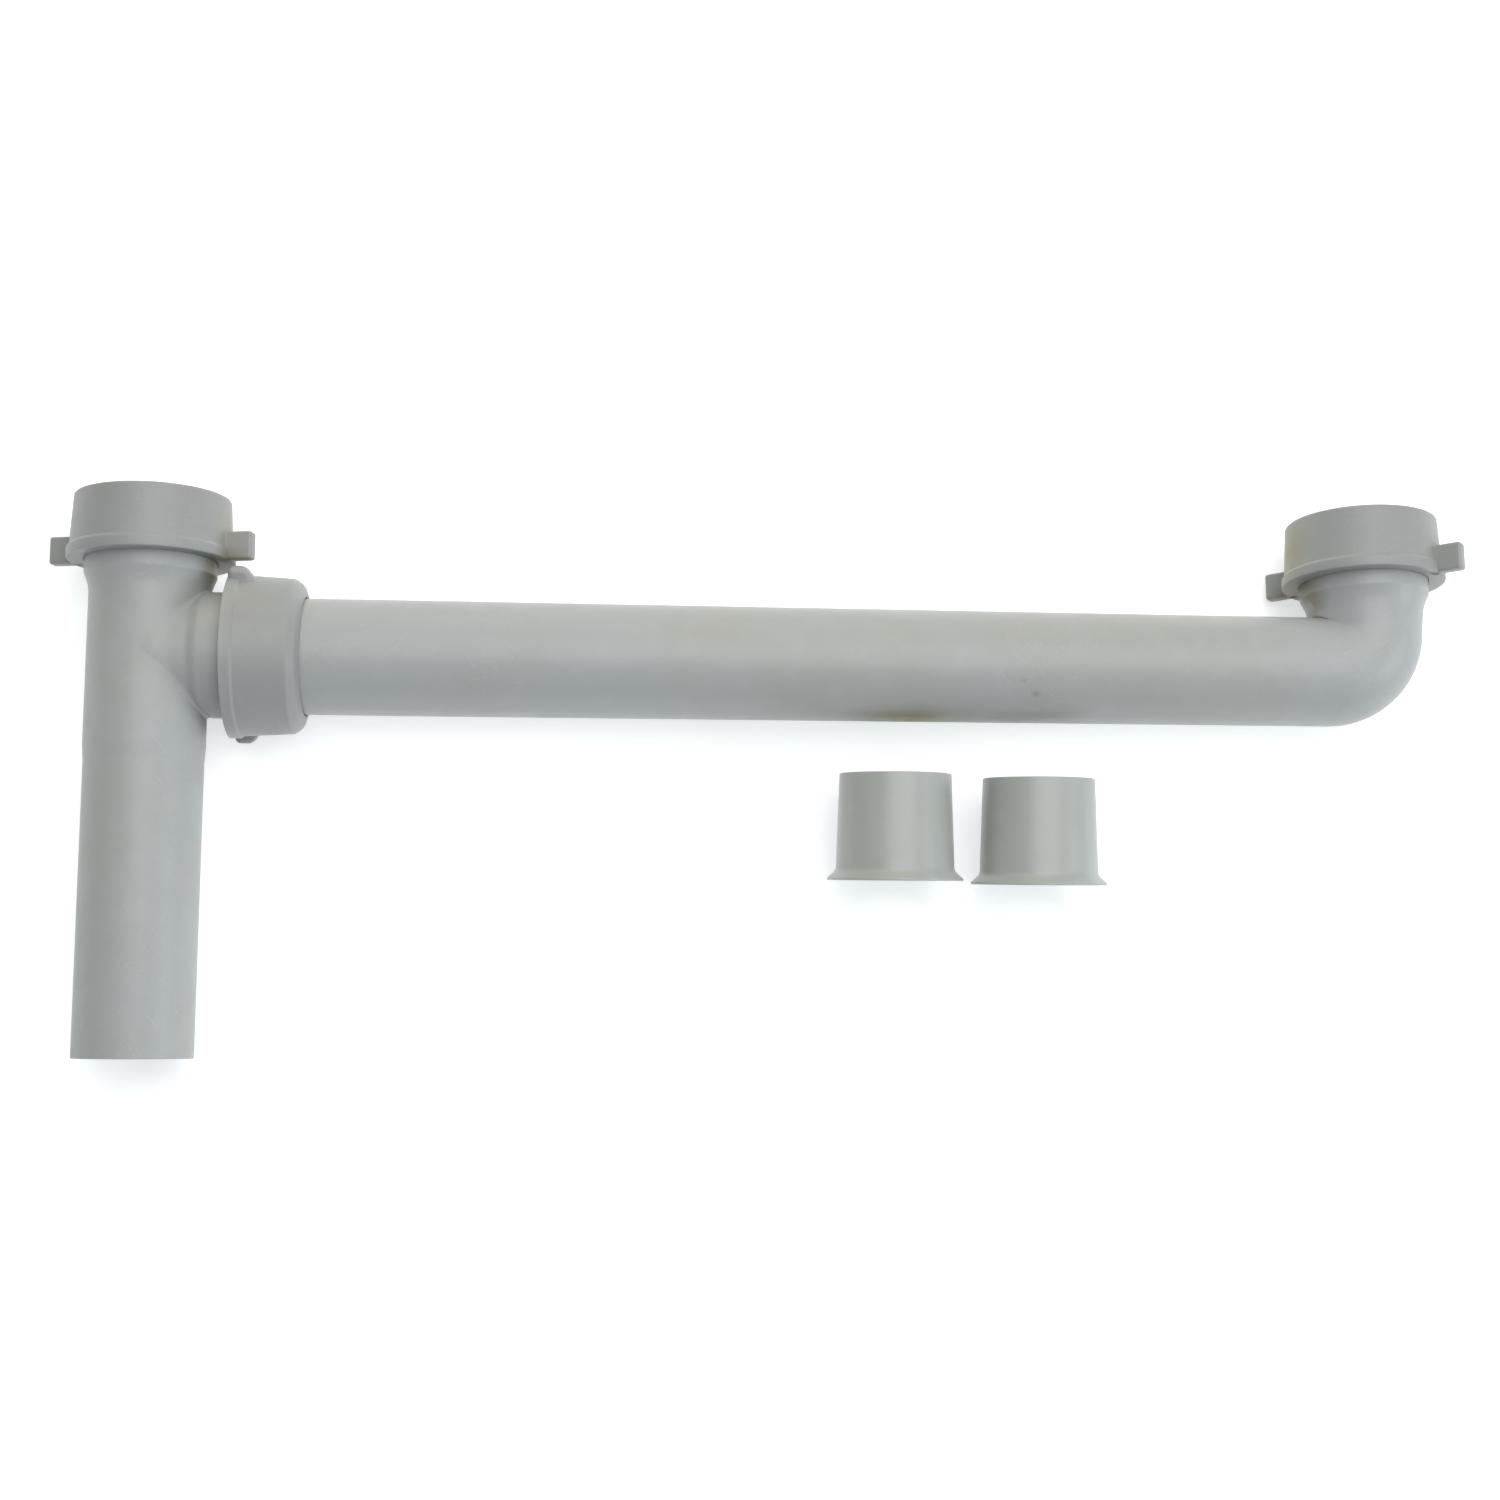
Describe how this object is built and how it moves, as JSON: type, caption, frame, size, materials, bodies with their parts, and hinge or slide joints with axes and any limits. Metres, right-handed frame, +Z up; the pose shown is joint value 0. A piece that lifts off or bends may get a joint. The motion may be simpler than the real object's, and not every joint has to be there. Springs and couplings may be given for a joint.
{
  "type": "sink continuous waste",
  "caption": "Direct-connect end-outlet continuous waste for a double-bowl sink: tee with long tail, slip-jointed arm with elbow, winged nuts and loose flanged inserts.",
  "frame": {"origin": "middle of the kit's footprint, on the surface that it lies on", "axes": "+X along the waste arm from the tee to the elbow, +Y towards the sink inlets, +Z up from the surface"},
  "size_m": [0.4684, 0.1846, 0.056],
  "materials": {
    "tee_plastic": "satin off-white polypropylene",
    "arm_plastic": "satin off-white polypropylene",
    "nut_plastic": "satin off-white polypropylene, moulded",
    "washer_plastic": "soft natural polyethylene",
    "insert_plastic": "thin natural polyethylene"
  },
  "bodies": {
    "tee": {"tee_body": "tee_plastic"},
    "left_nut": {"left_coupling_nut": "nut_plastic"},
    "slip_nut": {"slip_nut": "nut_plastic"},
    "washer": {"slip_joint_washer": "washer_plastic"},
    "arm": {"waste_arm": "arm_plastic"},
    "right_nut": {"right_coupling_nut": "nut_plastic"},
    "insert_a": {"flanged_insert_a": "insert_plastic"},
    "insert_b": {"flanged_insert_b": "insert_plastic"}
  },
  "joints": [
    {"name": "left_nut_spin", "type": "hinge", "parent": "tee", "child": "left_nut", "pos_m": [-0.19972, 0.06941, 0.02886], "axis": [0, 0.9981, 0.0612], "continuous": true},
    {"name": "slip_nut_spin", "type": "hinge", "parent": "tee", "child": "slip_nut", "pos_m": [-0.17272, 0.03901, 0.027], "axis": [1, 0, 0], "continuous": true},
    {"name": "arm_turn", "type": "hinge", "parent": "tee", "child": "washer", "pos_m": [-0.15472, 0.03901, 0.027], "axis": [1, 0, 0], "continuous": true},
    {"name": "arm_slide", "type": "slide", "parent": "washer", "child": "arm", "axis": [1, 0, 0], "range_m": [-0.0012, 0.014]},
    {"name": "right_nut_spin", "type": "hinge", "parent": "arm", "child": "right_nut", "pos_m": [0.20668, 0.06947, 0.027], "axis": [0, 1, 0], "continuous": true},
    {"name": "insert_a_lift", "type": "slide", "parent": "tee", "child": "insert_a", "axis": [0, 0, 1], "range_m": [0, 0.12]},
    {"name": "insert_b_lift", "type": "slide", "parent": "tee", "child": "insert_b", "axis": [0, 0, 1], "range_m": [0, 0.12]}
  ]
}
